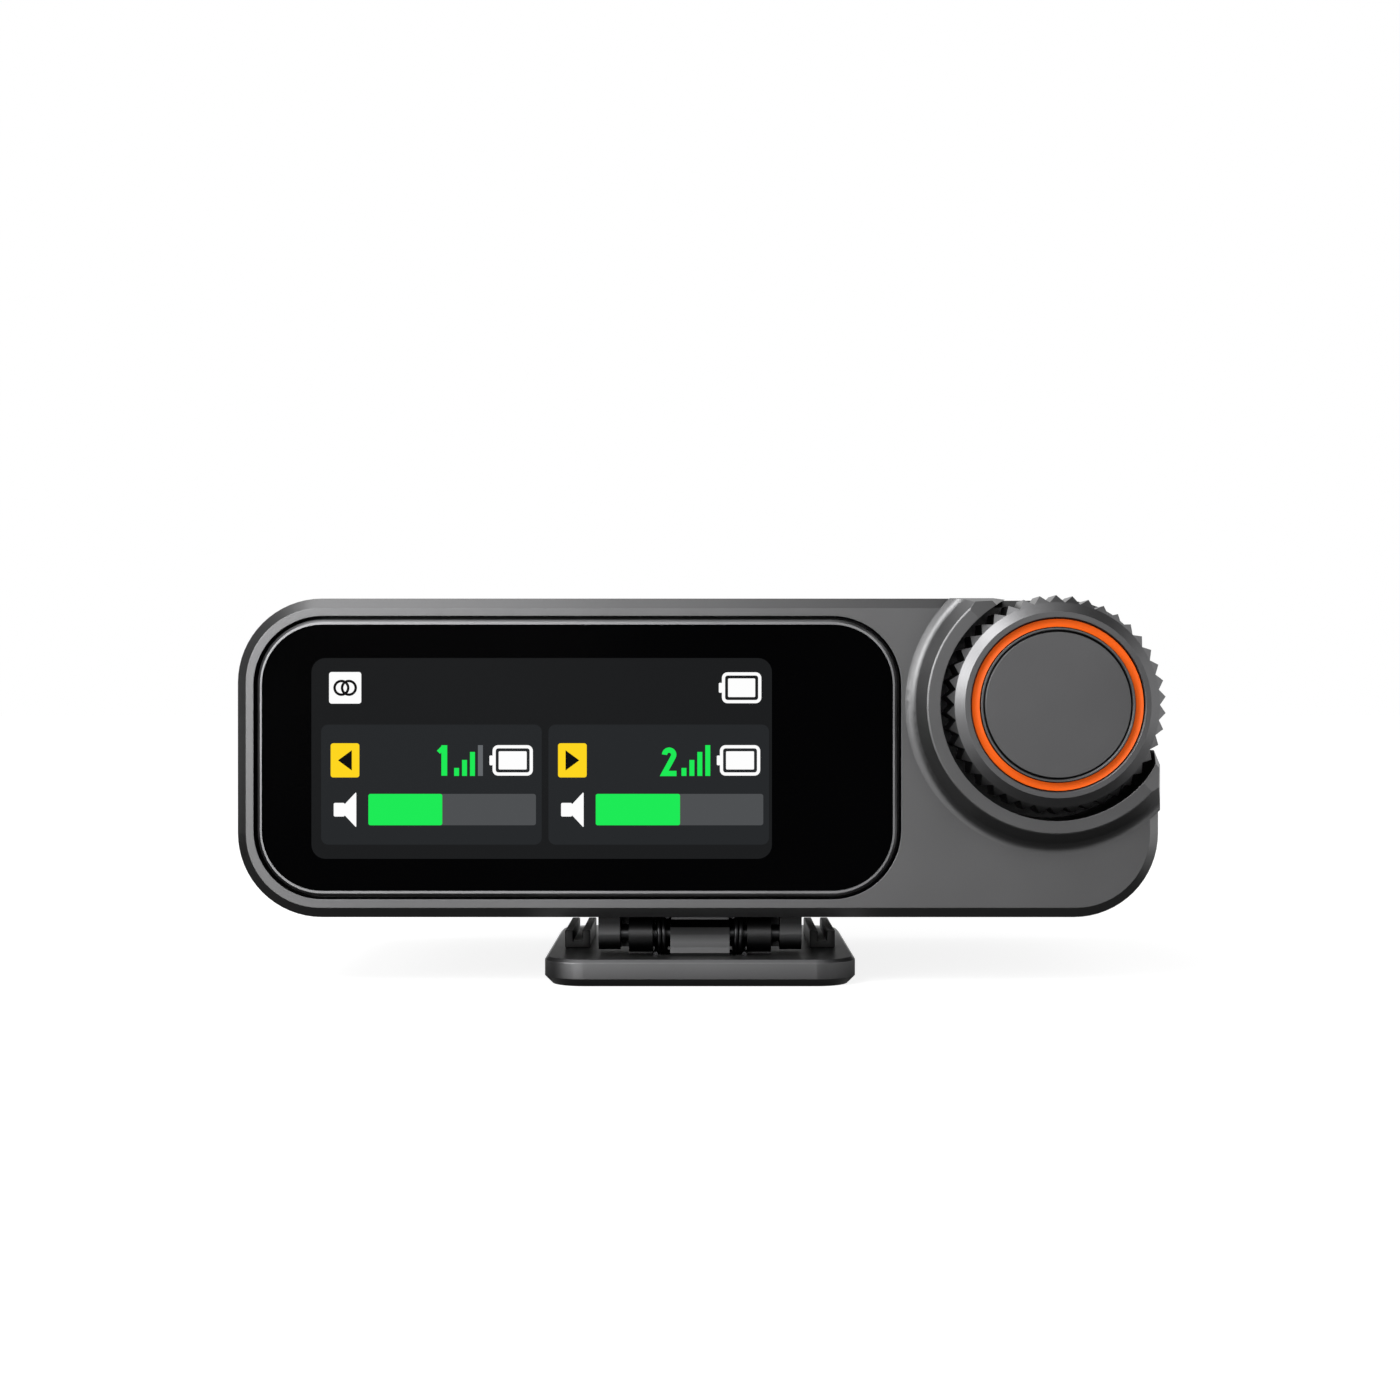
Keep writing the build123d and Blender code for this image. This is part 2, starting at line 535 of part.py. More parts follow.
def clip_bracket():
    """A plate let into the body's underside. Two cheeks hold the hinge pin, a pad between
    them stops the foot's lug, and a slanted wall behind the hinge stops the shoe."""
    plate = block(-FLANGE_X, FLANGE_X, FLANGE_FRONT, FLANGE_BACK, BODY_BOTTOM, FLANGE_TOP)
    for x, y in BRACKET_SPOTS:
        plate -= rod_z(x, y, BRACKET_SCREW_R + 0.1, BODY_BOTTOM - 1, BODY_BOTTOM + 2)
        plate -= countersink(x, y)
    for side in (-1, 1):
        inner, outer = sorted((side * (LUG_HALF - 0.05), side * (EAR_IN + 0.05)))
        plate -= block(inner, outer, -7.7, -4.5, BODY_BOTTOM - 1, BODY_BOTTOM + 0.3)
        inner, outer = sorted((side * CHEEK_IN, side * CHEEK_OUT))
        plate += block(inner, outer, HINGE_Y - CHEEK_R, HINGE_Y + CHEEK_R, HINGE_Z, BODY_BOTTOM)
        plate += rod_x(HINGE_Y, HINGE_Z, CHEEK_R, inner, outer)
    half = LUG_HALF - 0.07
    plate += block(-half, half, FLANGE_FRONT, HINGE_Y + 1.7, BODY_BOTTOM - STOP_PAD_DROP, BODY_BOTTOM)
    wall = side_profile([
        (WALL_FRONT, FOOT_T + 0.15), (WALL_FRONT + 0.4, FOOT_T + 0.15),
        (WALL_FRONT + 0.9, BODY_BOTTOM + 0.1), (WALL_FRONT + 0.5, BODY_BOTTOM + 0.1),
    ])
    plate += Pos(-CHEEK_OUT, 0, 0) * extrude(wall, 2 * CHEEK_OUT)
    return plate - rod_x(HINGE_Y, HINGE_Z, PIN_R, -8, 8)


def countersink(x, y):
    return Pos(x, y, BODY_BOTTOM + 0.25) * Cone(BRACKET_HEAD_R, BRACKET_SCREW_R + 0.1, 0.5)


def bracket_screw(x, y):
    screw = rod_z(x, y, BRACKET_SCREW_R, BODY_BOTTOM + 0.5, 6.8) + countersink(x, y)
    return screw - extrude(Pos(x, y, BODY_BOTTOM - 0.5) * RegularPolygon(0.55, 6), 0.85)


def foot_lug():
    """The middle knuckle: a flat front on a hollow root, a rounded brow that clears the
    bracket's pad as the foot swings down, and a heel that meets that pad at rest."""
    front = HINGE_Y - 1.3
    heel = BODY_BOTTOM - STOP_PAD_DROP - HAIR
    return side_profile([
        (front - 0.45, FOOT_T - 0.1), (front - 0.45, FOOT_T), (front - 0.14, FOOT_T + 0.13),
        (front, FOOT_T + 0.45), (front, HINGE_Z), (front + 0.15, HINGE_Z + 0.45),
        (front + 0.40, HINGE_Z + 0.58), (front + 0.75, HINGE_Z + 0.78),
        (HINGE_Y, heel - 0.05), (HINGE_Y, heel), (HINGE_Y + 1.3, heel), (HINGE_Y + 1.3, FOOT_T - 0.1),
    ])


def shoe_foot():
    plate = extrude(RectangleRounded(FOOT_W, FOOT_L, FOOT_CORNER_R), FOOT_T)
    plate = chamfer(plate.faces().sort_by(Axis.Z)[0].edges(), 0.46)
    plate = chamfer(plate.faces().sort_by(Axis.Z)[-1].edges(), 0.2)
    for side in (-1, 1):
        inner, outer = sorted((side * EAR_IN, side * EAR_OUT))
        plate += block(inner, outer, HINGE_Y - EAR_ROOT, HINGE_Y + EAR_R, FOOT_T - 0.3, HINGE_Z)
        plate += rod_x(HINGE_Y, HINGE_Z, EAR_R, inner, outer)
        inner, outer = sorted((side * LUG_HALF, side * EAR_IN))
        plate -= block(inner, outer, HINGE_Y - 1.6, HINGE_Y + 1.4, FOOT_T - 0.15, FOOT_T + 1)
    plate += Pos(-LUG_HALF, 0, 0) * extrude(foot_lug(), 2 * LUG_HALF)
    return plate - rod_x(HINGE_Y, HINGE_Z, PIN_R + RUN_FIT, -8, 8)


def foot_grip(side):
    """A rubber pad with two ribs along the foot, which grip what the clip holds."""
    x0, x1 = sorted((side * GRIP_IN, side * GRIP_OUT))
    pad = block(x0, x1, GRIP_FRONT, GRIP_BACK, FOOT_T, FOOT_T + GRIP_PAD_H)
    for rib_in in (GRIP_IN, GRIP_OUT - GRIP_RIB_W):
        r0, r1 = sorted((side * rib_in, side * (rib_in + GRIP_RIB_W)))
        rib = block(r0, r1, GRIP_FRONT, GRIP_BACK, FOOT_T, FOOT_T + GRIP_RIB_H)
        top_back = rib.edges().filter_by(Axis.X).sort_by(Axis.Y)[-2:].sort_by(Axis.Z)[-1:]
        pad += fillet(top_back, 0.5)
    return pad


def torsion_spring():
    """The right spring, a close-wound three-turn coil round the hinge pin. Its legs reach
    forward: the upper one bears on the bracket and the lower one on the foot."""
    middle = (LUG_HALF + EAR_IN) / 2
    turn = Pos(middle, HINGE_Y + COIL_R, HINGE_Z) * Circle(WIRE_R)
    section = turn
    for shift in (-COIL_PITCH, COIL_PITCH):
        section += Pos(shift, 0, 0) * turn
    coil = revolve(section, Axis((0, HINGE_Y, HINGE_Z), (1, 0, 0)), 360)
    leg_front, leg_back = HINGE_Y - 1.4, HINGE_Y + 0.2
    coil += rod_y(middle - COIL_PITCH, HINGE_Z + COIL_R, WIRE_R, leg_front, leg_back)
    coil += rod_y(middle + COIL_PITCH, HINGE_Z - COIL_R, WIRE_R, leg_front, leg_back)
    return coil


# --------------------------------------------------------------------------- nodes
parts = {
    "front_housing": front_housing(),
    "rear_housing": rear_housing(),
    "housing_screws": Compound(children=[corner_screw(x, z) for x, z in CORNER_SPOTS]),
    "display_trim": display_trim(),
    "cover_glass": cover_glass(),
    "display_gasket": display_gasket(),
    "display_panel": display_panel(),
    "display_carrier": display_carrier(),
    "display_flex": display_flex(),
    "flex_connector": flex_connector(),
    "main_board": main_board(),
    "board_screws": Compound(children=[board_screw(x, y) for x, y in BOARD_SPOTS]),
    "rf_shield": rf_shield(),
    "processor": block(-2.5, 3.5, 1.5, 7.5, BOARD_TOP, BOARD_TOP + 0.9),
    "power_chip": block(8.0, 12.0, -1.0, 3.0, BOARD_TOP, BOARD_TOP + 0.8),
    "line_out_jack": jack(LINE_OUT_Y),
    "line_out_collar": jack_collar(LINE_OUT_Y),
    "headphone_jack": jack(HEADPHONE_Y),
    "headphone_collar": jack_collar(HEADPHONE_Y),
    "usb_c_shell": usb_shell(),
    "usb_c_tongue": usb_tongue(),
    "battery_cell": battery_cell(),
    "battery_tape": block(-9.0, 12.0, -2.0, 9.0, BATTERY_TOP, IN_TOP),
    "battery_plug": block(13.0, 16.6, 4.0, 7.6, BOARD_TOP, BOARD_TOP + 1.6),
    "battery_tail": block(14.5, 14.7, 4.2, 7.4, BOARD_TOP + 1.6, 18.5),
    "power_button": power_button(),
    "power_switch": power_switch(),
    "button_board": button_board(),
    "status_light_pipe": rod_z(BUTTON_X + LIGHT_STEP, BUTTON_Y, LIGHT_R, IN_TOP - 0.3, BODY_TOP),
    "antenna_left": antenna(-14.0),
    "antenna_right": antenna(14.0),
    "contact_block": contact_block(),
    "contact_pads": Compound(children=[contact_pad(x) for x in PAD_SPOTS]),
    "encoder_body": encoder_body(),
    "encoder_sleeve": encoder_sleeve(),
    "dial_board": rod_y(DIAL_X, DIAL_Z, ENCODER_R, ENCODER_REAR, ENCODER_REAR + 0.8),
    "dial_switch": rod_y(DIAL_X, DIAL_Z, 1.8, ENCODER_REAR - 0.35, ENCODER_REAR),
    "dial_flex": block(19.0, 23.0, ENCODER_REAR + 0.8, ENCODER_REAR + 1.0, BOARD_TOP, 14.0),
    "dial_wheel": dial_wheel(),
    "dial_accent_ring": dial_accent_ring(),
    "dial_cap": dial_cap(),
    "dial_shaft": dial_shaft(),
    "detent_rotor": detent_rotor(),
    "clip_bracket": clip_bracket(),
    "bracket_screws": Compound(children=[bracket_screw(x, y) for x, y in BRACKET_SPOTS]),
    "hinge_pin": rod_x(HINGE_Y, HINGE_Z, PIN_R, -6.0, 6.0),
    "torsion_spring_left": mirror(torsion_spring(), Plane.YZ),
    "torsion_spring_right": torsion_spring(),
    "shoe_foot": shoe_foot(),
    "foot_grip_left": foot_grip(-1),
    "foot_grip_right": foot_grip(1),
}

os.makedirs("parts", exist_ok=True)
for name, shape in parts.items():
    export_step(shape, f"parts/{name}.step")
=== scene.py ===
import bpy
import json
import math
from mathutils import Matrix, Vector


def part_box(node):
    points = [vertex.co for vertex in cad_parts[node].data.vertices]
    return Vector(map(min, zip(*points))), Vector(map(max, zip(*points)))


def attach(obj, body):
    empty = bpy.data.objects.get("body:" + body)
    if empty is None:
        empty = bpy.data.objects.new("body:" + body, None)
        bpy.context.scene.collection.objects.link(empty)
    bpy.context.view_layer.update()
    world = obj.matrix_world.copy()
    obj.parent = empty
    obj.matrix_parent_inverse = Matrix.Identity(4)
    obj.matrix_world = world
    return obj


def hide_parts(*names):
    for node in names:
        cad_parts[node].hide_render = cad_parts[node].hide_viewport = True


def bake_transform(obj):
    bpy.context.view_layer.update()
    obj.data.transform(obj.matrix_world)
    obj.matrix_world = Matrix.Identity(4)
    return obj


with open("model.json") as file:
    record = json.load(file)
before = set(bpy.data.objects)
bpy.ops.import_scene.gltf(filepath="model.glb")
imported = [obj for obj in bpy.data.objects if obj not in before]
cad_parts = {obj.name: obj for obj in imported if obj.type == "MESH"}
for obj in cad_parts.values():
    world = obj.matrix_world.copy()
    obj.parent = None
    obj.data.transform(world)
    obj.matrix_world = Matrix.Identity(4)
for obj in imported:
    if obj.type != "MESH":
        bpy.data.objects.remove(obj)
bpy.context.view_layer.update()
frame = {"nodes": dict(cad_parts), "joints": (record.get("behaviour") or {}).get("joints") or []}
nodes = frame["nodes"]
bpy.ops.object.select_all(action="DESELECT")

# ------------------------------------------------------------------ camera and studio
# The receiver stands on a white table, seen straight on through a short tele lens. The
# lens is level with the upper part of the body. Soft boxes light it from the upper left,
# and dark sheets outside the picture shape what its metal and glass mirror.
MM = 0.001


def box_in_mm(node):
    """The lowest and the highest corner of a CAD piece, in mm."""
    low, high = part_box(node)
    return low / MM, high / MM


FACE_Y = box_in_mm("cover_glass")[0].y
LENS_HEIGHT = 16.83
LENS_GAP = 123.0
camera = bpy.data.cameras.new("camera")
camera.lens = 54.0
camera.sensor_width = 36.0
camera.clip_start = 0.005
camera_stand = bpy.data.objects.new("camera", camera)
camera_stand.location = (0.0, (FACE_Y - LENS_GAP) * MM, LENS_HEIGHT * MM)
camera_stand.rotation_euler = (math.radians(90.0), 0.0, 0.0)
bpy.context.scene.collection.objects.link(camera_stand)
bpy.context.scene.camera = camera_stand
bpy.context.scene.view_settings.view_transform = "Standard"


class Signal:
    """An output socket in a shader tree. Arithmetic on it adds Math nodes."""

    def __init__(self, tree, output=None):
        self.tree = tree
        self.output = output

    def add(self, kind, settings=None, sockets=None, output=0):
        """Adds any node: its settings first, then the values or links of its sockets."""
        node = self.tree.nodes.new("ShaderNode" + kind)
        for name, value in (settings or {}).items():
            setattr(node, name, value)
        for name, value in (sockets or {}).items():
            if isinstance(value, Signal):
                self.tree.links.new(value.output, node.inputs[name])
            else:
                node.inputs[name].default_value = value
        return Signal(self.tree, node.outputs[output] if node.outputs else None)

    def math(self, operation, first, second=0.0, clamp=False):
        settings = {"operation": operation, "use_clamp": clamp}
        return self.add("Math", settings, {0: first, 1: second})

    def __add__(self, other):
        return self.math("ADD", self, other)

    __radd__ = __add__

    def __mul__(self, other):
        return self.math("MULTIPLY", self, other)

    __rmul__ = __mul__

    def __sub__(self, other):
        return self.math("SUBTRACT", self, other)

    def __rsub__(self, other):
        return self.math("SUBTRACT", other, self)

    def __gt__(self, other):
        return self.math("GREATER_THAN", self, other)

    def clamped(self):
        return self.math("ADD", self, 0.0, clamp=True)

    def between(self, low, high):
        """A colour between two: low where this mask is 0, high where it is 1."""
        return self.add("Mix", {"data_type": "RGBA"}, {0: self, 6: low, 7: high}, 2)


def tree_of(owner):
    """Empties a material's or the world's shader tree and returns a start for it."""
    owner.use_nodes = True
    owner.node_tree.nodes.clear()
    return Signal(owner.node_tree)


def seen_directly(mix):
    """1 for what is seen straight, mirrored in metal or through clear plastic, or else 0."""
    rays = mix.add("LightPath", output="Is Camera Ray")
    rays = rays + mix.add("LightPath", output="Is Glossy Ray")
    rays = rays + mix.add("LightPath", output="Is Transmission Ray")
    return rays.clamped()


WHITE = (1.0, 1.0, 1.0, 1.0)
ROOM_LEVEL = 0.45
surround = bpy.data.worlds.new("surround")
bpy.context.scene.world = surround
surround.cycles.sampling_method = "NONE"
mix = tree_of(surround)
strength = ROOM_LEVEL + seen_directly(mix) * (1.0 - ROOM_LEVEL)
back = mix.add("Background", sockets={"Color": WHITE, "Strength": strength})
mix.add("OutputWorld", sockets={"Surface": back})


def finish(name):
    """A new material, and a start for its tree."""
    material = bpy.data.materials.new(name)
    return material, tree_of(material)


def aimed(away):
    """The turn that points a sheet's front, or a lamp's back, along away."""
    return Vector(away).to_track_quat("Z", "Y").to_euler()


def studio_sheet(name, centre, size, facing, material):
    """A flat sheet of the studio, centred in mm, whose front looks along facing."""
    bpy.ops.mesh.primitive_plane_add(size=1.0, location=[v * MM for v in centre])
    sheet = bpy.context.object
    sheet.name = name
    sheet.rotation_euler = aimed(facing)
    sheet.scale = (size[0] * MM, size[1] * MM, 1.0)
    sheet.data.materials.append(material)
    return sheet


TABLE_SIDE = 4000.0
TABLE_GREY = (0.36, 0.36, 0.36, 1.0)
TABLE_GLOW = 0.86
UPWARDS = (0.0, 0.0, 1.0)
table_white, mix = finish("table_white")
card = mix.add("BsdfDiffuse", sockets={"Color": TABLE_GREY})
strength = seen_directly(mix) * TABLE_GLOW
glow = mix.add("Emission", sockets={"Color": WHITE, "Strength": strength})
mix.add("OutputMaterial", sockets={"Surface": mix.add("AddShader", sockets={0: card, 1: glow})})
studio_sheet("table", (0.0, 0.0, 0.0), (TABLE_SIDE, TABLE_SIDE), UPWARDS, table_white)

black_felt, mix = finish("black_felt")
felt = mix.add("BsdfDiffuse", sockets={"Color": (0.002, 0.002, 0.002, 1.0)})
mix.add("OutputMaterial", sockets={"Surface": felt})


def grey_sheet(name, brightness):
    """A grey card, as bright as that share of white paper."""
    material, mix = finish(name)
    dim = mix.add("Emission", sockets={"Color": WHITE, "Strength": brightness})
    mix.add("OutputMaterial", sockets={"Surface": dim})
    return material


grey_card = grey_sheet("grey_card", 0.07)
toe_card = grey_sheet("toe_card", 0.20)
pale_card = grey_sheet("pale_card", 0.34)


def mirrored_sheet(name, centre, size, facing, material):
    """A dark sheet outside the picture, which only shows in the metal and the glass."""
    sheet = studio_sheet(name, centre, size, facing, material)
    sheet.visible_camera = False
    sheet.visible_diffuse = False
    sheet.visible_shadow = False
    sheet.visible_transmission = False


AIM_HEIGHT = 13.0
BODY_MIDDLE = Vector((0.0, FACE_Y, AIM_HEIGHT))
LAMP_REACH = 450.0
FLAG_REACH = 400.0


def round_the_lens(tilt, clock, reach):
    """A place reach mm from the body: tilt degrees off the lens, clock degrees round it
    from the right, upwards."""
    tilt = math.radians(tilt)
    clock = math.radians(clock)
    side = math.sin(tilt)
    away = Vector((side * math.cos(clock), -math.cos(tilt), side * math.sin(clock)))
    return BODY_MIDDLE + away * reach


def soft_box(name, tilt, clock, width, height, radiance):
    """A rectangular lamp that faces the body. Its width and height are in degrees as the
    body sees them, and at radiance 1 it looks as bright as white paper."""
    lamp = bpy.data.lights.new(name, "AREA")
    lamp.shape = "RECTANGLE"
    lamp.size = 2 * LAMP_REACH * MM * math.tan(math.radians(width / 2))
    lamp.size_y = 2 * LAMP_REACH * MM * math.tan(math.radians(height / 2))
    lamp.energy = radiance * lamp.size * lamp.size_y * math.pi ** 2
    stand = bpy.data.objects.new(name, lamp)
    bpy.context.scene.collection.objects.link(stand)
    place = round_the_lens(tilt, clock, LAMP_REACH)
    stand.location = place * MM
    stand.rotation_euler = aimed(place - BODY_MIDDLE)
    stand.visible_camera = False


# Each lamp gives its tilt and clock, its width and height, and its radiance. Each sheet
# gives its middle and its size in mm.
soft_box("front_box", 17.0, 168.0, 26.0, 14.0, 3.0)
soft_box("key_box", 54.0, 157.0, 24.0, 22.0, 2.6)
soft_box("upper_box", 56.0, 121.0, 24.0, 20.0, 2.8)
soft_box("top_box", 94.0, 104.0, 16.0, 16.0, 0.9)
mirrored_sheet("lens_flag", (15.0, -300.0, 10.0), (270.0, 70.0), (0.0, 1.0, 0.0), black_felt)
mirrored_sheet("front_felt", (20.0, -182.0, 0.02), (240.0, 254.0), UPWARDS, black_felt)
mirrored_sheet("foot_card", (0.0, 9.0, 0.02), (110.0, 42.0), UPWARDS, grey_card)
mirrored_sheet("under_foot", (0.0, -10.0, 0.04), (20.0, 4.0), UPWARDS, toe_card)
mirrored_sheet("dial_card", (13.0, -15.0, 0.03), (54.0, 30.0), UPWARDS, grey_card)
mirrored_sheet("side_card", (58.0, -18.0, 0.03), (36.0, 40.0), UPWARDS, pale_card)
mirrored_sheet("left_card", (-34.0, -21.0, 0.02), (42.0, 18.0), UPWARDS, grey_card)
mirrored_sheet("left_felt", (-235.0, 0.0, 0.02), (360.0, 120.0), UPWARDS, black_felt)


def round_flag(name, tilt, clock, width, height):
    """A black flag that faces the body. Its width and height are in mm."""
    place = round_the_lens(tilt, clock, FLAG_REACH)
    mirrored_sheet(name, place, (width, height), BODY_MIDDLE - place, black_felt)


round_flag("upper_flag", 60.0, 52.0, 300.0, 260.0)
round_flag("left_flag", 92.0, 176.0, 330.0, 740.0)
round_flag("corner_flag", 92.0, 138.0, 170.0, 200.0)
round_flag("roof_flag", 95.0, 70.0, 240.0, 200.0)

# --------------------------------------------------------------------------- housing
# The front shell is machined from aluminium, bead-blasted and anodised dark grey.
# The rear cover is moulded in black plastic, for the aerials behind it, and screwed on.


def coat(mix, **sockets):
    """Ends a material with the surface shader."""
    named = {name.replace("_", " "): value for name, value in sockets.items()}
    surface = mix.add("BsdfPrincipled", sockets=named)
    mix.add("OutputMaterial", sockets={"Surface": surface})


def noise(mix, place, scale, detail=2.0):
    """Even noise from 0 to 1. Its scale is in waves per metre."""
    return mix.add("TexNoise", sockets={"Vector": place, "Scale": scale, "Detail": detail})


def shade(colour, factor):
    """A colour made that much brighter, with its alpha."""
    return [min(1.0, part * factor) for part in colour] + [1.0]


def dress(material, *names):
    """Gives CAD nodes a material in place of their plain one."""
    for name in names:
        for slot in nodes[name].material_slots:
            slot.link = "OBJECT"
            slot.material = material


BLAST_GRAIN = 9000.0
DYE_CLOUD = 160.0
PALE_EDGE_AND_HIGHLIGHT_GAIN = 4.0
# Painted shade: hollows darken down to this share of the colour.
PAINTED_HOLLOW_SHADE = 0.06
# Painted shade: the hinge's shaded knuckles darken down to this share of the colour.
PAINTED_SHADE_TONE = 0.12


def anodised(name, colour, roughness, edge=0.05, grain_depth=0.010, hollow=1.5, painted_shade=None):
    """Bead-blasted, anodised aluminium: an even fine grain, a little paler on its edges, partly
    from worn dye and partly as a painted highlight along them. Hollows are painted darker,
    as painted shade. The last argument's mask, if given, marks more painted shade."""
    material, mix = finish(name)
    place = mix.add("TexCoord", output="Object")
    rounded = mix.add("Bevel", {"samples": 6}, {"Radius": edge * MM}, "Normal")
    flat = mix.add("NewGeometry", output="Normal")
    same = mix.add("VectorMath", {"operation": "DOT_PRODUCT"}, {0: rounded, 1: flat}, "Value")
    # Paler edges: partly worn dye, partly a painted highlight along the edges.
    edges = ((1.0 - same) * PALE_EDGE_AND_HIGHLIGHT_GAIN).clamped()
    grain = noise(mix, place, BLAST_GRAIN)
    cloud = noise(mix, place, DYE_CLOUD)
    base = (edges * 0.7 + (cloud - 0.5) * 0.5 + 0.2).clamped()
    base = base.between(shade(colour, 0.96), shade(colour, 1.25))
    # Painted shade: where ambient occlusion finds a hollow, the colour is painted darker.
    reach = {"Distance": hollow * MM}
    openness = mix.add("AmbientOcclusion", {"samples": 6}, reach, "AO")
    base = mix.math("POWER", openness, 1.5).between(shade(colour, PAINTED_HOLLOW_SHADE), base)
    # Painted shade: the given mask marks where the colour is painted darker as shade.
    if painted_shade:
        base = painted_shade(mix, place).between(base, shade(colour, PAINTED_SHADE_TONE))
    depth = {"Height": grain, "Normal": rounded, "Strength": 0.25, "Distance": grain_depth * MM}
    bump = mix.add("Bump", sockets=depth)
    rough = cloud * 0.05 + grain * 0.04 + (roughness - 0.045)
    coat(mix, Base_Color=base, Metallic=1.0, Roughness=rough, Normal=bump)
    return material


MOULD_CLOUD = 220.0
# Painted light: masked faces are painted this many times paler, as if lit from above.
PAINTED_LIGHT_GAIN = 30.0


def moulded(name, colour, roughness, grain_scale=7000.0, grain_depth=0.012, metallic=0.0,
            gloss=0.5, painted_light=None):
    """An even material, such as plastic, rubber or plated metal, with a fine grain. The last
    argument's mask, if given, marks where light is painted in, much paler."""
    material, mix = finish(name)
    place = mix.add("TexCoord", output="Object")
    grain = noise(mix, place, grain_scale)
    cloud = noise(mix, place, MOULD_CLOUD)
    base = cloud.between(shade(colour, 0.85), shade(colour, 1.15))
    # Painted light: the mask's parts are painted much paler, as a painted highlight.
    if painted_light:
        base = painted_light(mix, place).between(base, shade(colour, PAINTED_LIGHT_GAIN))
    depth = {"Height": grain, "Strength": 0.4, "Distance": grain_depth * MM}
    bump = mix.add("Bump", sockets=depth)
    rough = cloud * 0.10 + grain * 0.06 + (roughness - 0.08)
    coat(mix, Base_Color=base, Metallic=metallic, Roughness=rough, Normal=bump,
         Specular_IOR_Level=gloss)
    return material


housing_metal = anodised("housing_metal", (0.145, 0.145, 0.147), 0.36)
rear_plastic = moulded("rear_plastic", (0.030, 0.030, 0.032), 0.52)
black_steel = moulded("black_steel", (0.060, 0.060, 0.062), 0.34, 5000.0, 0.004, 1.0)
dress(housing_metal, "front_housing")
dress(rear_plastic, "rear_housing")
dress(black_steel, "housing_screws", "bracket_screws")

# ---------------------------------------------------------------------------- window
# A black glass pane lies in a thin satin metal ring. Behind it sit a foam gasket, the
# panel and its steel carrier, with a flexible cable down to the board.
trim_metal = moulded("trim_metal", (0.24, 0.24, 0.245), 0.36, 5000.0, 0.001, 1.0)
dress(trim_metal, "display_trim")


def black_glass(name):
    """Coated black glass: nearly mirror-smooth, with the faintest smears."""
    material, mix = finish(name)
    place = mix.add("TexCoord", output="Object")
    smear = noise(mix, place, 90.0, 4.0)
    base = smear.between((0.0008, 0.0008, 0.0009, 1.0), (0.0014, 0.0014, 0.0016, 1.0))
    gloss = {"Base_Color": base, "Roughness": smear * 0.03 + 0.02}
    coat(mix, Specular_IOR_Level=0.15, **gloss)
    return material


window_glass = black_glass("window_glass")
dress(window_glass, "cover_glass")
foam = moulded("foam", (0.025, 0.025, 0.025), 0.9, 3000.0, 0.03)
display_stack = moulded("display_stack", (0.05, 0.05, 0.055), 0.35, 400.0, 0.002)
steel = moulded("steel", (0.55, 0.55, 0.56), 0.26, 4000.0, 0.003, 1.0)
dress(foam, "display_gasket")
dress(display_stack, "display_panel")
dress(steel, "display_carrier")


def flex_film(name):
    """Amber polyimide film over fine copper tracks that run along it."""
    material, mix = finish(name)
    place = mix.add("TexCoord", output="Object")
    wave = {"Vector": place, "Scale": 500.0, "Distortion": 0.4}
    tracks = mix.add("TexWave", {"bands_direction": "X"}, wave, "Fac")
    cloud = noise(mix, place, 300.0)
    base = tracks.between((0.30, 0.12, 0.015, 1.0), (0.55, 0.26, 0.045, 1.0))
    coat(mix, Base_Color=base, Roughness=cloud * 0.15 + 0.25)
    return material


flex_amber = flex_film("flex_amber")
connector_black = moulded("connector_black", (0.02, 0.02, 0.022), 0.45)
dress(flex_amber, "display_flex", "dial_flex")
dress(connector_black, "flex_connector", "battery_plug", "contact_block", "usb_c_tongue")

# --------------------------------------------------------------------------- picture
# What the lit panel shows: two channels, each with its number, signal, battery and level.
# Each colour of light is one sheet of tiles at the glass, a few microns thick. The
# tiles are laid out flat first, x to the right and y down from the screen's corner.
panel_low, panel_high = box_in_mm("display_panel")
SCREEN_LEFT = panel_low.x + 1.213
SCREEN_TOP = panel_high.z - 0.373
SCREEN_W = 26.969
SCREEN_H = 11.758
CARD_W = 12.917
CARD_H = 7.032
CARD_TOP = 3.896
CARD_LEFTS = (0.567, 13.882)
LAYER = 0.006
SHEET_T = 0.7 * LAYER


def select_only(piece):
    bpy.ops.object.select_all(action="DESELECT")
    piece.select_set(True)
    bpy.context.view_layer.objects.active = piece


def settle(piece):
    """Moves a piece's place, turn and size into its mesh."""
    select_only(piece)
    bpy.ops.object.transform_apply(location=True, rotation=True, scale=True)


def edit(piece, everything=True):
    """Starts work on a piece's mesh, with all of it or none of it selected."""
    select_only(piece)
    bpy.ops.object.mode_set(mode="EDIT")
    bpy.ops.mesh.select_all(action="SELECT" if everything else "DESELECT")


def done():
    bpy.ops.object.mode_set(mode="OBJECT")


def face_outwards():
    bpy.ops.mesh.select_all(action="SELECT")
    bpy.ops.mesh.normals_make_consistent(inside=False)


def pulled_out(x, y, z):
    """Extrudes what is selected by so many mm."""
    shift = {"value": (x * MM, y * MM, z * MM)}
    bpy.ops.mesh.extrude_region_move(TRANSFORM_OT_translate=shift)


def join(name, pieces):
    """Joins finished pieces into one mesh with that name."""
    bpy.ops.object.select_all(action="DESELECT")
    for piece in pieces:
        piece.select_set(True)
    bpy.context.view_layer.objects.active = pieces[0]
    if len(pieces) > 1:
        bpy.ops.object.join()
    joined = bpy.context.object
    joined.name = name
    joined.data.name = name
    return joined


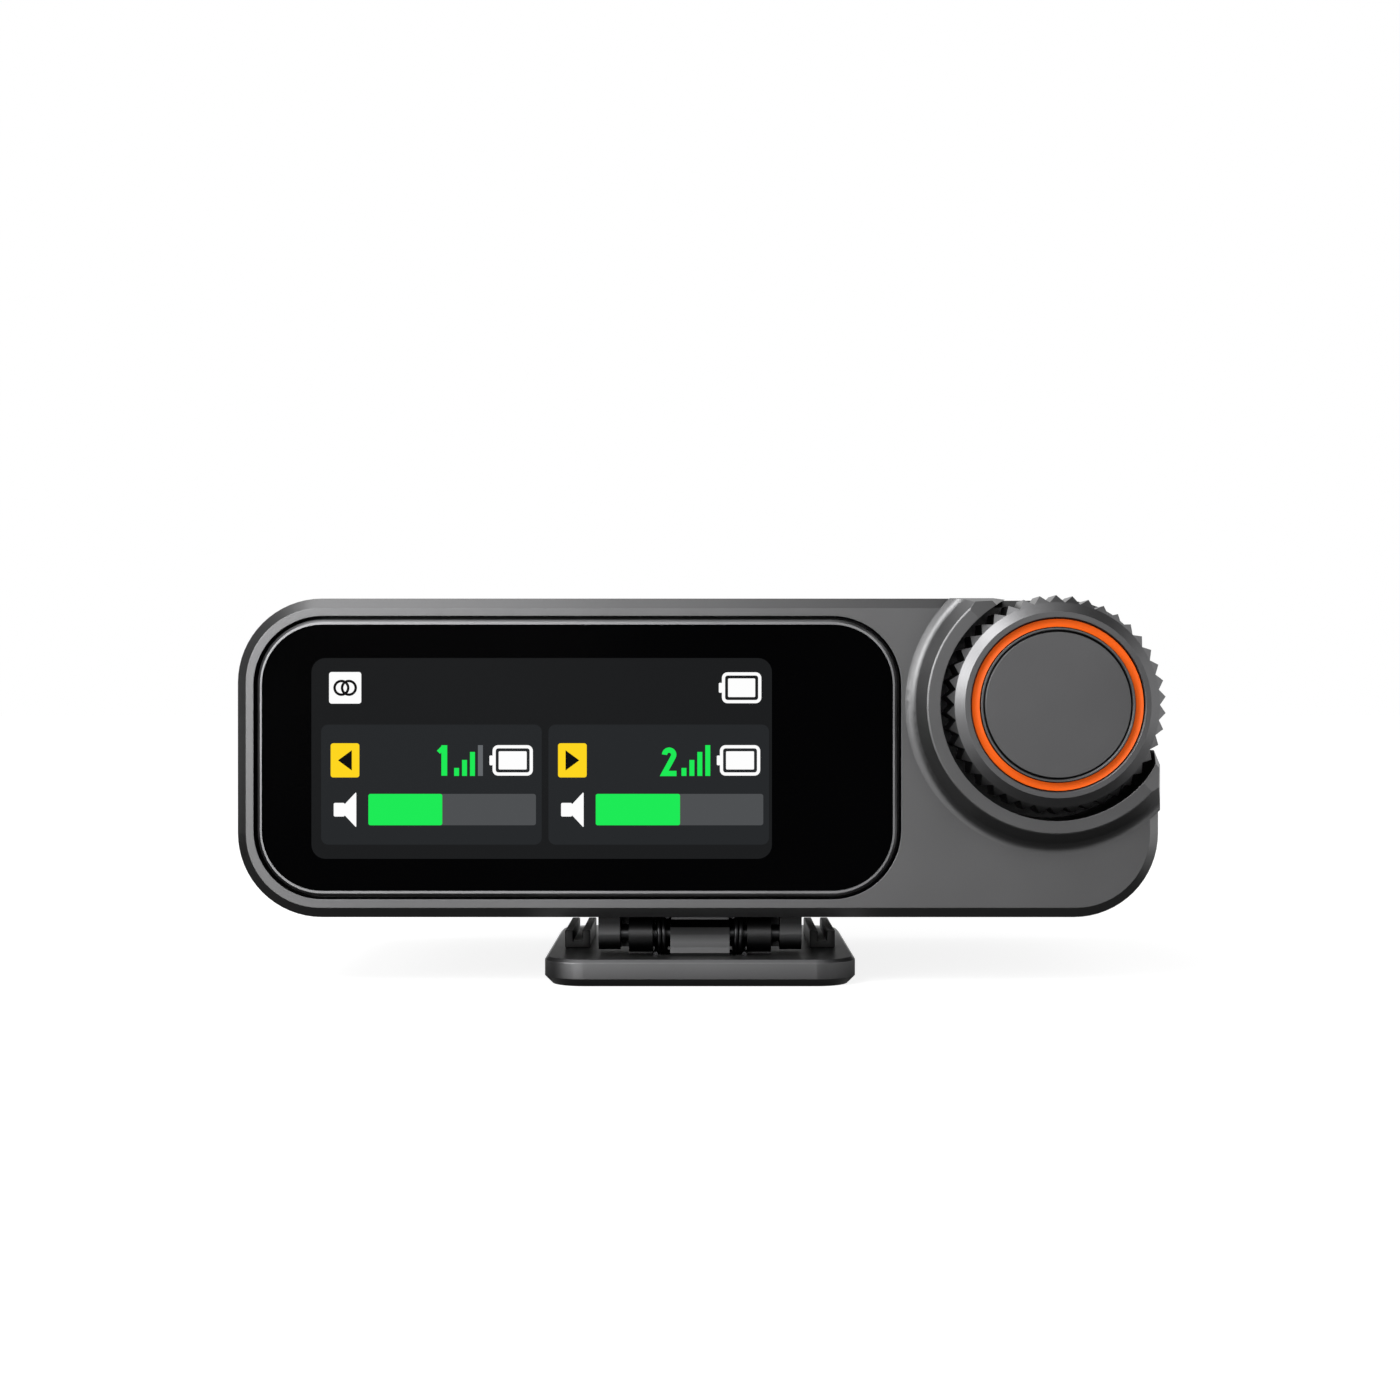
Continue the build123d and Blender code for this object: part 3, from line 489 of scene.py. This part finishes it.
def flat_tile(x, y, width, height, layer, corner=0.0, segments=6):
    """A rectangle with rounded corners, still without thickness."""
    bpy.ops.mesh.primitive_plane_add(size=1.0)
    piece = bpy.context.object
    piece.scale = (width * MM, height * MM, 1.0)
    piece.location = ((x + width / 2) * MM, -(y + height / 2) * MM, LAYER * layer * MM)
    settle(piece)
    if corner:
        edit(piece)
        bpy.ops.mesh.bevel(offset=corner * MM, segments=segments, affect="VERTICES")
        done()
    return piece


def thicken(piece):
    """Gives a flat tile its thickness, towards the glass."""
    edit(piece)
    pulled_out(0.0, 0.0, -SHEET_T)
    face_outwards()
    done()
    return piece


def tile(x, y, width, height, layer, corner=0.0, segments=6):
    return thicken(flat_tile(x, y, width, height, layer, corner, segments))


def narrowed(piece, edge_x, share):
    """Draws the side of a tile at edge_x together, to that share of its height."""
    corners = piece.data.vertices
    middle = sum(corner.co.y for corner in corners) / len(corners)
    for corner in corners:
        if abs(corner.co.x - edge_x * MM) < 0.1 * MM:
            corner.co.y = middle + (corner.co.y - middle) * share
    return thicken(piece)


def frame_tile(x, y, width, height, layer, border, corner):
    """A rounded border of even width."""
    piece = flat_tile(x, y, width, height, layer, corner)
    edit(piece)
    bpy.ops.mesh.inset(thickness=border * MM)
    bpy.ops.mesh.delete(type="FACE")
    done()
    return thicken(piece)


def stroke(points, width, layer, closed=False, thickness=SHEET_T):
    """A line of even width through points."""
    bpy.ops.mesh.primitive_plane_add(size=MM)
    piece = bpy.context.object
    edit(piece)
    bpy.ops.mesh.merge(type="CENTER")
    bpy.ops.mesh.select_all(action="SELECT")
    x, y = points[0]
    bpy.ops.transform.translate(value=(x * MM, -y * MM, LAYER * layer * MM))
    for next_x, next_y in points[1:]:
        pulled_out(next_x - x, y - next_y, 0.0)
        x, y = next_x, next_y
    bpy.ops.mesh.select_all(action="SELECT")
    if closed:
        bpy.ops.mesh.remove_doubles(threshold=0.001 * MM)
    pulled_out(0.0, 0.0, -thickness)
    done()
    bpy.ops.object.modifier_add(type="SOLIDIFY")
    solid = piece.modifiers[-1]
    solid.thickness = width * MM
    solid.offset = 0.0
    solid.use_even_offset = True
    bpy.ops.object.modifier_apply(modifier=solid.name)
    edit(piece)
    face_outwards()
    done()
    return piece


def arc(middle_x, middle_y, radius, start, end, steps):
    """Points on a circle. Angles in degrees run clockwise from the right."""
    turns = [math.radians(start + (end - start) * k / steps) for k in range(steps + 1)]
    return [(middle_x + radius * math.cos(a), middle_y + radius * math.sin(a)) for a in turns]


def battery(x, y, width, height):
    """A full battery: its border, its charge and the nub on its left end."""
    gap = 0.36
    nub = 0.18
    corner = 0.06
    border = frame_tile(x, y, width, height, 3, 0.187, 0.33)
    charge = tile(x + gap, y + gap, width - 2 * gap, height - 2 * gap, 3, corner, 3)
    end = tile(x - nub, y + height * 0.34, nub + 0.02, height * 0.32, 3, corner, 3)
    return [border, charge, end]


def light(name, colour):
    """Light of one colour from behind the black glass, which keeps the glass's gloss."""
    material, mix = finish(name)
    place = mix.add("TexCoord", output="Object")
    spread = noise(mix, place, 60.0)
    glow = spread.between(shade(colour, 0.98), shade(colour, 1.0))
    gloss = {"Base_Color": (0.001, 0.001, 0.001, 1.0), "Roughness": spread * 0.02 + 0.03}
    coat(mix, Emission_Color=glow, Emission_Strength=1.0, Specular_IOR_Level=0.15, **gloss)
    return material


# The top row holds the stereo sign, which is two linked rings, and the receiver's battery.
TILE_CORNER = 0.15
RING_R = 0.40
RING_W = 0.15
RING_X = 1.977
RING_Y = 1.745
RING_SHIFT = 0.22
whites = [tile(1.035, 0.819, 1.884, 1.849, 3, TILE_CORNER)]
whites += battery(24.04, 0.835, 2.31, 1.81)
yellows = []
greens = []
greys = []
pales = []
left_ring = arc(RING_X - RING_SHIFT, RING_Y, RING_R, 0, 360, 32)
right_ring = arc(RING_X + RING_SHIFT, RING_Y, RING_R, 0, 360, 32)
darks = [stroke(left_ring, RING_W, 4, closed=True)]
darks += [stroke(right_ring, RING_W, 5, closed=True)]

# On each channel's card the places are counted from its left edge and the cards' top.
BARS_LEFT = 7.79
BAR_STEP = 0.465
BAR_W = 0.29
BAR_TOPS = (2.539, 2.071, 1.603, 1.205)
BAR_BOTTOM = 3.007
ARROW_LEFT = 1.00
ARROW_W = 0.80
CONE_LEFT = 1.36
LEVEL_LEFT = 2.77
LEVEL_TOP = 4.06
LEVEL_W = 9.81
LEVEL_H = 1.837
SOUND_RIGHTS = (7.096, 7.704)
for number, left in enumerate(CARD_LEFTS):
    top = CARD_TOP
    yellows += [tile(left + 0.56, top + 1.094, 1.68, 2.001, 3, TILE_CORNER)]
    whites += battery(left + 10.04, top + 1.205, 2.36, 1.785)
    for step, bar_top in enumerate(BAR_TOPS):
        weak = number == 0 and step == 3
        bar_left = left + BARS_LEFT + BAR_STEP * step
        bar = tile(bar_left, top + bar_top, BAR_W, BAR_BOTTOM - bar_top, 3)
        (pales if weak else greens).append(bar)
    whites += [tile(left + 0.74, top + 4.586, 0.64, 0.80, 3, 0.08, 3)]
    cone = flat_tile(left + CONE_LEFT, top + 3.984, 0.70, 2.006, 3, 0.04, 3)
    whites += [narrowed(cone, left + CONE_LEFT, 0.34)]
    sound_w = SOUND_RIGHTS[number] - LEVEL_LEFT
    greens += [tile(left + LEVEL_LEFT, top + LEVEL_TOP, sound_w, LEVEL_H, 4, 0.12)]
    greys += [tile(left + LEVEL_LEFT, top + LEVEL_TOP, LEVEL_W, LEVEL_H, 3, 0.146)]
    arrow = flat_tile(left + ARROW_LEFT, top + 1.50, ARROW_W, 1.19, 4)
    point = left + ARROW_LEFT + ARROW_W * number
    darks += [narrowed(arrow, point, 0.01)]

# The channels' numbers: an upright with a short flag, and one line bent into a two.
one_flag = [(7.71, 5.245), (7.44, 5.52)]
two = arc(20.95, 5.66, 0.27, 180, 388, 14) + [(20.66, 6.76), (21.38, 6.76)]
greens += [tile(7.612, 5.105, 0.340, 1.785, 3)]
greens += [stroke(one_flag, 0.26, 4)]
greens += [stroke(two, 0.31, 3)]

CARD_CORNER = 0.41
SCREEN_CORNER = 0.82
cards = [tile(x, CARD_TOP, CARD_W, CARD_H, 2, CARD_CORNER) for x in CARD_LEFTS]
ground = [tile(0.0, 0.0, SCREEN_W, SCREEN_H, 1, SCREEN_CORNER)]
picture = {
    "picture_ground": (ground, (0.0116, 0.0122, 0.0130)),
    "picture_cards": (cards, (0.0194, 0.0212, 0.0232)),
    "picture_white": (whites, (1.0, 1.0, 1.0)),
    "picture_yellow": (yellows, (1.0, 0.679, 0.0130)),
    "picture_green": (greens, (0.012, 0.835, 0.094)),
    "picture_pale": (pales, (0.129, 0.138, 0.147)),
    "picture_grey": (greys, (0.0762, 0.0802, 0.0844)),
    "picture_dark": (darks, (0.004, 0.004, 0.004)),
}
for name, (tiles, colour) in picture.items():
    sheet = join(name, tiles)
    sheet.rotation_euler = (math.radians(90.0), 0.0, 0.0)
    sheet.location = (SCREEN_LEFT * MM, FACE_Y * MM, SCREEN_TOP * MM)
    settle(sheet)
    sheet.data.materials.append(light(name, colour))
    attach(sheet, "receiver")

# --------------------------------------------------------------------------- sockets
# Two jack sockets on the left with dark metal collars, a USB-C socket on the right and a
# charging contact block on the back. Their contacts are gold plated: spring leaves in
# the jacks, flat strips on both sides of the USB-C tongue, and pads on the block.
contact_gold = moulded("contact_gold", (0.85, 0.62, 0.25), 0.28, 4000.0, 0.003, 1.0)
collar_metal = moulded("collar_metal", (0.15, 0.15, 0.153), 0.30, 4000.0, 0.003, 1.0)
dress(collar_metal, "line_out_collar", "headphone_collar")
dress(connector_black, "line_out_jack", "headphone_jack")
dress(steel, "usb_c_shell")
dress(contact_gold, "contact_pads")
LEAF_W = 0.9
LEAF_T = 0.12
LEAF_GAP = 1.68
LEAF_PINCH = 1.36
LEAF_LIP = 1.66


def contact_leaves(name, jack):
    """Two bent leaves of plated bronze inside a socket, which grip the plug's tip."""
    low, high = box_in_mm(jack)
    middle = (low + high) / 2
    xs = (high.x - 1.6, low.x + 5.2, low.x + 4.0, low.x + 3.0)
    offsets = (LEAF_GAP, LEAF_GAP, LEAF_PINCH, LEAF_LIP)
    leaves = []
    for up in (-1, 1):
        bend = [(x, offset * up) for x, offset in zip(xs, offsets)]
        leaves.append(stroke(bend, LEAF_T, 0, thickness=LEAF_W))
    piece = join(name, leaves)
    piece.rotation_euler = (math.radians(90.0), 0.0, 0.0)
    piece.location = (0.0, (middle.y - LEAF_W / 2) * MM, middle.z * MM)
    settle(piece)
    piece.data.materials.append(contact_gold)
    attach(piece, "receiver")


contact_leaves("line_out_leaves", "line_out_jack")
contact_leaves("headphone_leaves", "headphone_jack")

tongue_low, tongue_high = box_in_mm("usb_c_tongue")
TONGUE_Y = (tongue_low.y + tongue_high.y) / 2
PLATING = 0.02
LANES = 12
LANE_STEP = 0.5
LANE_W = 0.28
LANE_LENGTH = 1.7
LANE_LEFT = tongue_high.x - 2.16
lane_ys = [TONGUE_Y + LANE_STEP * (lane - (LANES - 1) / 2) for lane in range(LANES)]
plated_levels = {
    "usb_c_lanes_above": tongue_high.z + PLATING,
    "usb_c_lanes_below": tongue_low.z,
}
for name, level in plated_levels.items():
    strips = []
    for lane_y in lane_ys:
        strip = flat_tile(LANE_LEFT, -lane_y - LANE_W / 2, LANE_LENGTH, LANE_W, 0)
        edit(strip)
        pulled_out(0.0, 0.0, -PLATING)
        face_outwards()
        done()
        strips.append(strip)
    plated = join(name, strips)
    plated.location.z = level * MM
    settle(plated)
    plated.data.materials.append(contact_gold)
    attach(plated, "receiver")

# ---------------------------------------------------------------------------- button
# The power button on top is machined from the same metal as the clip, with the usual
# on-off sign printed on it. A short acrylic light pipe beside it carries the status light.
clip_metal = anodised("clip_metal", (0.140, 0.140, 0.143), 0.40)
dress(clip_metal, "power_button")
button_low, button_high = box_in_mm("power_button")
BUTTON_X = (button_low.x + button_high.x) / 2
BUTTON_Y = (button_low.y + button_high.y) / 2
MARK_R = 0.60
MARK_W = 0.15
PRINT = 0.02
marking_white = moulded("marking_white", (0.62, 0.62, 0.60), 0.5, 5000.0, 0.002)
open_ring = arc(BUTTON_X, -BUTTON_Y, MARK_R, -55, 235, 28)
upright = [(BUTTON_X, -BUTTON_Y - 0.78), (BUTTON_X, -BUTTON_Y - 0.12)]
lines = [stroke(line, MARK_W, 0, thickness=PRINT) for line in (open_ring, upright)]
mark = join("button_mark", lines)
mark.location.z = (button_high.z + PRINT * 0.75) * MM
settle(mark)
mark.data.materials.append(marking_white)
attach(mark, "power_button")
light_pipe = moulded("light_pipe", (0.70, 0.75, 0.72), 0.25, 3000.0, 0.002)
dress(light_pipe, "status_light_pipe")

# ------------------------------------------------------------------------------ dial
# The dial is turned and knurled from aluminium. An orange ring and a flat cap are
# pressed into its front. Its shaft turns a detent rotor in the encoder behind the wall.
dial_metal = anodised("dial_metal", (0.150, 0.150, 0.153), 0.36, edge=0.03, hollow=0.8)
dress(dial_metal, "dial_wheel", "dial_cap")
accent_orange = moulded("accent_orange", (0.84, 0.116, 0.006), 0.45, 6000.0, 0.003, gloss=0.15)
dress(accent_orange, "dial_accent_ring")
dress(steel, "dial_shaft", "encoder_sleeve", "dial_switch", "power_switch")
dress(connector_black, "encoder_body", "detent_rotor")

# ------------------------------------------------------------------- electronics
# Inside, a green board carries the shielded radio, the processor and the power chip.
# A foil battery is taped under the roof, and two small boards serve button and dial.


def solder_mask(name):
    """Green solder mask over copper tracks that run in short straight steps."""
    material, mix = finish(name)
    place = mix.add("TexCoord", output="Object")
    cells = {"Vector": place, "Scale": 900.0, "Randomness": 0.6}
    steps = mix.add("TexVoronoi", {"distance": "MANHATTAN"}, cells, "Distance")
    tracks = steps > 0.55
    base = tracks.between((0.008, 0.055, 0.026, 1.0), (0.014, 0.090, 0.040, 1.0))
    coat(mix, Base_Color=base, Roughness=0.34 + tracks * 0.08)
    return material


circuit_board = solder_mask("circuit_board")
chip_black = moulded("chip_black", (0.018, 0.018, 0.018), 0.6)
battery_foil = moulded("battery_foil", (0.50, 0.50, 0.51), 0.34, 1200.0, 0.02, 1.0)
adhesive = moulded("adhesive", (0.60, 0.58, 0.52), 0.7)
lead_rubber = moulded("lead_rubber", (0.030, 0.030, 0.030), 0.5)
dress(circuit_board, "main_board", "button_board", "dial_board")
dress(steel, "rf_shield", "board_screws")
dress(chip_black, "processor", "power_chip")
dress(battery_foil, "battery_cell")
dress(adhesive, "battery_tape")
dress(lead_rubber, "battery_tail")
dress(flex_amber, "antenna_left", "antenna_right")

# ------------------------------------------------------------------------------ clip
# The bracket is screwed under the body. The foot is one piece of the same metal, and
# it hangs on a steel pin between the bracket's ears.
joints = {joint["name"]: joint for joint in frame["joints"]}
HINGE = Vector(joints["clip_hinge"]["pos_m"])
FOOT_TOP = box_in_mm("foot_grip_right")[0].z
LUG_HALF = 1.77
EAR_END = 4.30
KNUCKLE_REACH = 1.9
# Painted shade on the hinge: its full depth, and the heights above which it comes in on the lug
# and on the cheeks.
FULL_KNUCKLE_SHADE = 0.8
LUG_SHADE_Z = 2.35
CHEEK_SHADE_Z = 2.90


def shade_on_knuckles(mix, place):
    """How deep the painted shade is, under the body: full on the hinge's knuckles and the lug's
    upper half, lighter low down on the cheeks, and none on all the rest."""
    x = mix.add("SeparateXYZ", sockets={"Vector": place}, output="X")
    y = mix.add("SeparateXYZ", sockets={"Vector": place}, output="Y")
    z = mix.add("SeparateXYZ", sockets={"Vector": place}, output="Z")
    half = mix.math("ABSOLUTE", x)
    aside = half > (LUG_HALF + 0.05) * MM
    lug = ((z - LUG_SHADE_Z * MM) * (2.0 / MM)).clamped() * FULL_KNUCKLE_SHADE
    cheek_shade = ((z - CHEEK_SHADE_Z * MM) * (1.7 / MM)).clamped() * 0.55 - 0.35
    knuckle = (half > EAR_END * MM) * cheek_shade + FULL_KNUCKLE_SHADE
    near = mix.math("ABSOLUTE", y - HINGE.y)
    near = 1.0 - (near > KNUCKLE_REACH * MM)
    shade_depth = lug + aside * (knuckle - lug)
    return shade_depth * near * (z > (FOOT_TOP + 0.04) * MM)


# The hinge metal is painted darker on its knuckles, as painted shade under the body.
hinge_metal = anodised("hinge_metal", (0.172, 0.172, 0.175), 0.38, painted_shade=shade_on_knuckles)
dress(hinge_metal, "clip_bracket", "shoe_foot")
dress(black_steel, "hinge_pin")

# -------------------------------------------------------------------- torsion springs
# Two springs of music wire sit on the pin, in the slots beside the middle lug. The top
# leg of each bears on the bracket and the bottom leg on the foot, which closes the clip.
spring_steel = moulded("spring_steel", (0.05, 0.05, 0.052), 0.30, 4000.0, 0.003, 1.0)
COIL_R = 1.12
WIRE_R = 0.135
COIL_PITCH = 0.28
COIL_TURNS = 2.5
COIL_STEPS = 70
WIRE_SIDES = 12
LEG_REACH = 1.4
spring_low, spring_high = box_in_mm("torsion_spring_right")
SLOT_MIDDLE = (spring_low.x + spring_high.x) / 2


def torsion_spring(name, side):
    """A wire wound round the pin. Both ends are pulled forward as the legs, and the
    turns between them share out the clip's swing."""
    bpy.ops.mesh.primitive_circle_add(vertices=WIRE_SIDES, radius=WIRE_R * MM)
    piece = bpy.context.object
    piece.rotation_euler = (math.radians(90.0), 0.0, 0.0)
    piece.location = (0.0, 0.0, COIL_R * MM)
    settle(piece)
    bpy.ops.object.modifier_add(type="SCREW")
    winding = piece.modifiers[-1]
    winding.axis = "X"
    winding.angle = -math.radians(360.0 * COIL_TURNS)
    winding.screw_offset = side * COIL_PITCH * COIL_TURNS * MM
    winding.steps = COIL_STEPS
    winding.render_steps = COIL_STEPS
    winding.use_merge_vertices = False
    bpy.ops.object.modifier_apply(modifier=winding.name)
    edit(piece, everything=False)
    bpy.ops.mesh.select_mode(type="EDGE")
    bpy.ops.mesh.select_non_manifold()
    pulled_out(0.0, -LEG_REACH, 0.0)
    bpy.ops.mesh.select_all(action="SELECT")
    bpy.ops.mesh.fill_holes(sides=WIRE_SIDES)
    face_outwards()
    done()
    start = SLOT_MIDDLE - COIL_PITCH * COIL_TURNS / 2
    piece.location = (side * start * MM, HINGE.y, HINGE.z)
    settle(piece)
    bpy.ops.object.shade_smooth_by_angle(angle=math.radians(50.0))
    piece = join("wire_" + name, [piece])
    piece.data.materials.append(spring_steel)
    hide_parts(name)
    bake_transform(piece)


torsion_spring("torsion_spring_left", -1)
torsion_spring("torsion_spring_right", 1)

# ------------------------------------------------------------------------- foot grips
# Two moulded rubber pads are bonded along the foot. Each has a rib down both long
# sides, rounded off at the back where the clip slides on.
grip_low, grip_high = box_in_mm("foot_grip_right")
GRIP_IN = grip_low.x
GRIP_OUT = grip_high.x
GRIP_FRONT = grip_low.y
GRIP_BACK = grip_high.y
PAD_H = 0.43
RIB_W = 0.50
RIB_H = grip_high.z - grip_low.z
BACK_ROUND = 0.2
EDGE_ROUND = 0.07
HAIR = 0.01


def lit_tops(mix, place):
    """A mask of what faces up: the pad between the ribs and the ribs' tops, painted paler as
    painted light.
    """
    facing = mix.add("TexCoord", output="Normal")
    return mix.add("SeparateXYZ", sockets={"Vector": facing}, output="Z") > 0.7


# The rubber is painted paler on its upward faces, as painted light from above.
grip_rubber = moulded("grip_rubber", (0.006, 0.006, 0.006), 0.46, 5000.0, 0.004, gloss=0.2,
                      painted_light=lit_tops)


def foot_grip(name, side):
    """A block cut along its ribs, which are then pulled up and rounded."""
    middle_x = side * (GRIP_IN + GRIP_OUT) / 2
    middle_y = (GRIP_FRONT + GRIP_BACK) / 2
    bpy.ops.mesh.primitive_cube_add(size=MM)
    piece = bpy.context.object
    piece.scale = (GRIP_OUT - GRIP_IN, GRIP_BACK - GRIP_FRONT, PAD_H)
    piece.location = (middle_x * MM, middle_y * MM, (FOOT_TOP + PAD_H / 2) * MM)
    settle(piece)
    for cut in (GRIP_IN + RIB_W, GRIP_OUT - RIB_W):
        edit(piece)
        bpy.ops.mesh.bisect(plane_co=(side * cut * MM, 0.0, 0.0), plane_no=(1.0, 0.0, 0.0))
        done()
    edit(piece, everything=False)
    bpy.ops.mesh.select_mode(type="FACE")
    done()
    for face in piece.data.polygons:
        beside = abs(face.center.x - middle_x * MM) > RIB_W / 2 * MM
        face.select = beside and face.normal.z > 0.9
    bpy.ops.object.mode_set(mode="EDIT")
    pulled_out(0.0, 0.0, RIB_H - PAD_H)
    bpy.ops.mesh.select_all(action="DESELECT")
    bpy.ops.mesh.select_mode(type="EDGE")
    done()
    top = (FOOT_TOP + RIB_H - HAIR) * MM
    back = (GRIP_BACK - HAIR) * MM
    corners = piece.data.vertices
    for edge in piece.data.edges:
        ends = [corners[index].co for index in edge.vertices]
        edge.select = all(end.z > top and end.y > back for end in ends)
    bpy.ops.object.mode_set(mode="EDIT")
    bpy.ops.mesh.bevel(offset=BACK_ROUND * MM, segments=4, affect="EDGES")
    face_outwards()
    done()
    bpy.ops.object.modifier_add(type="BEVEL")
    rounding = piece.modifiers[-1]
    rounding.width = EDGE_ROUND * MM
    rounding.segments = 3
    rounding.limit_method = "ANGLE"
    bpy.ops.object.modifier_apply(modifier=rounding.name)
    bpy.ops.object.shade_smooth_by_angle(angle=math.radians(40.0))
    piece = join("moulded_" + name, [piece])
    piece.data.materials.append(grip_rubber)
    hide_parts(name)
    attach(piece, "foot")


foot_grip("foot_grip_left", -1)
foot_grip("foot_grip_right", 1)
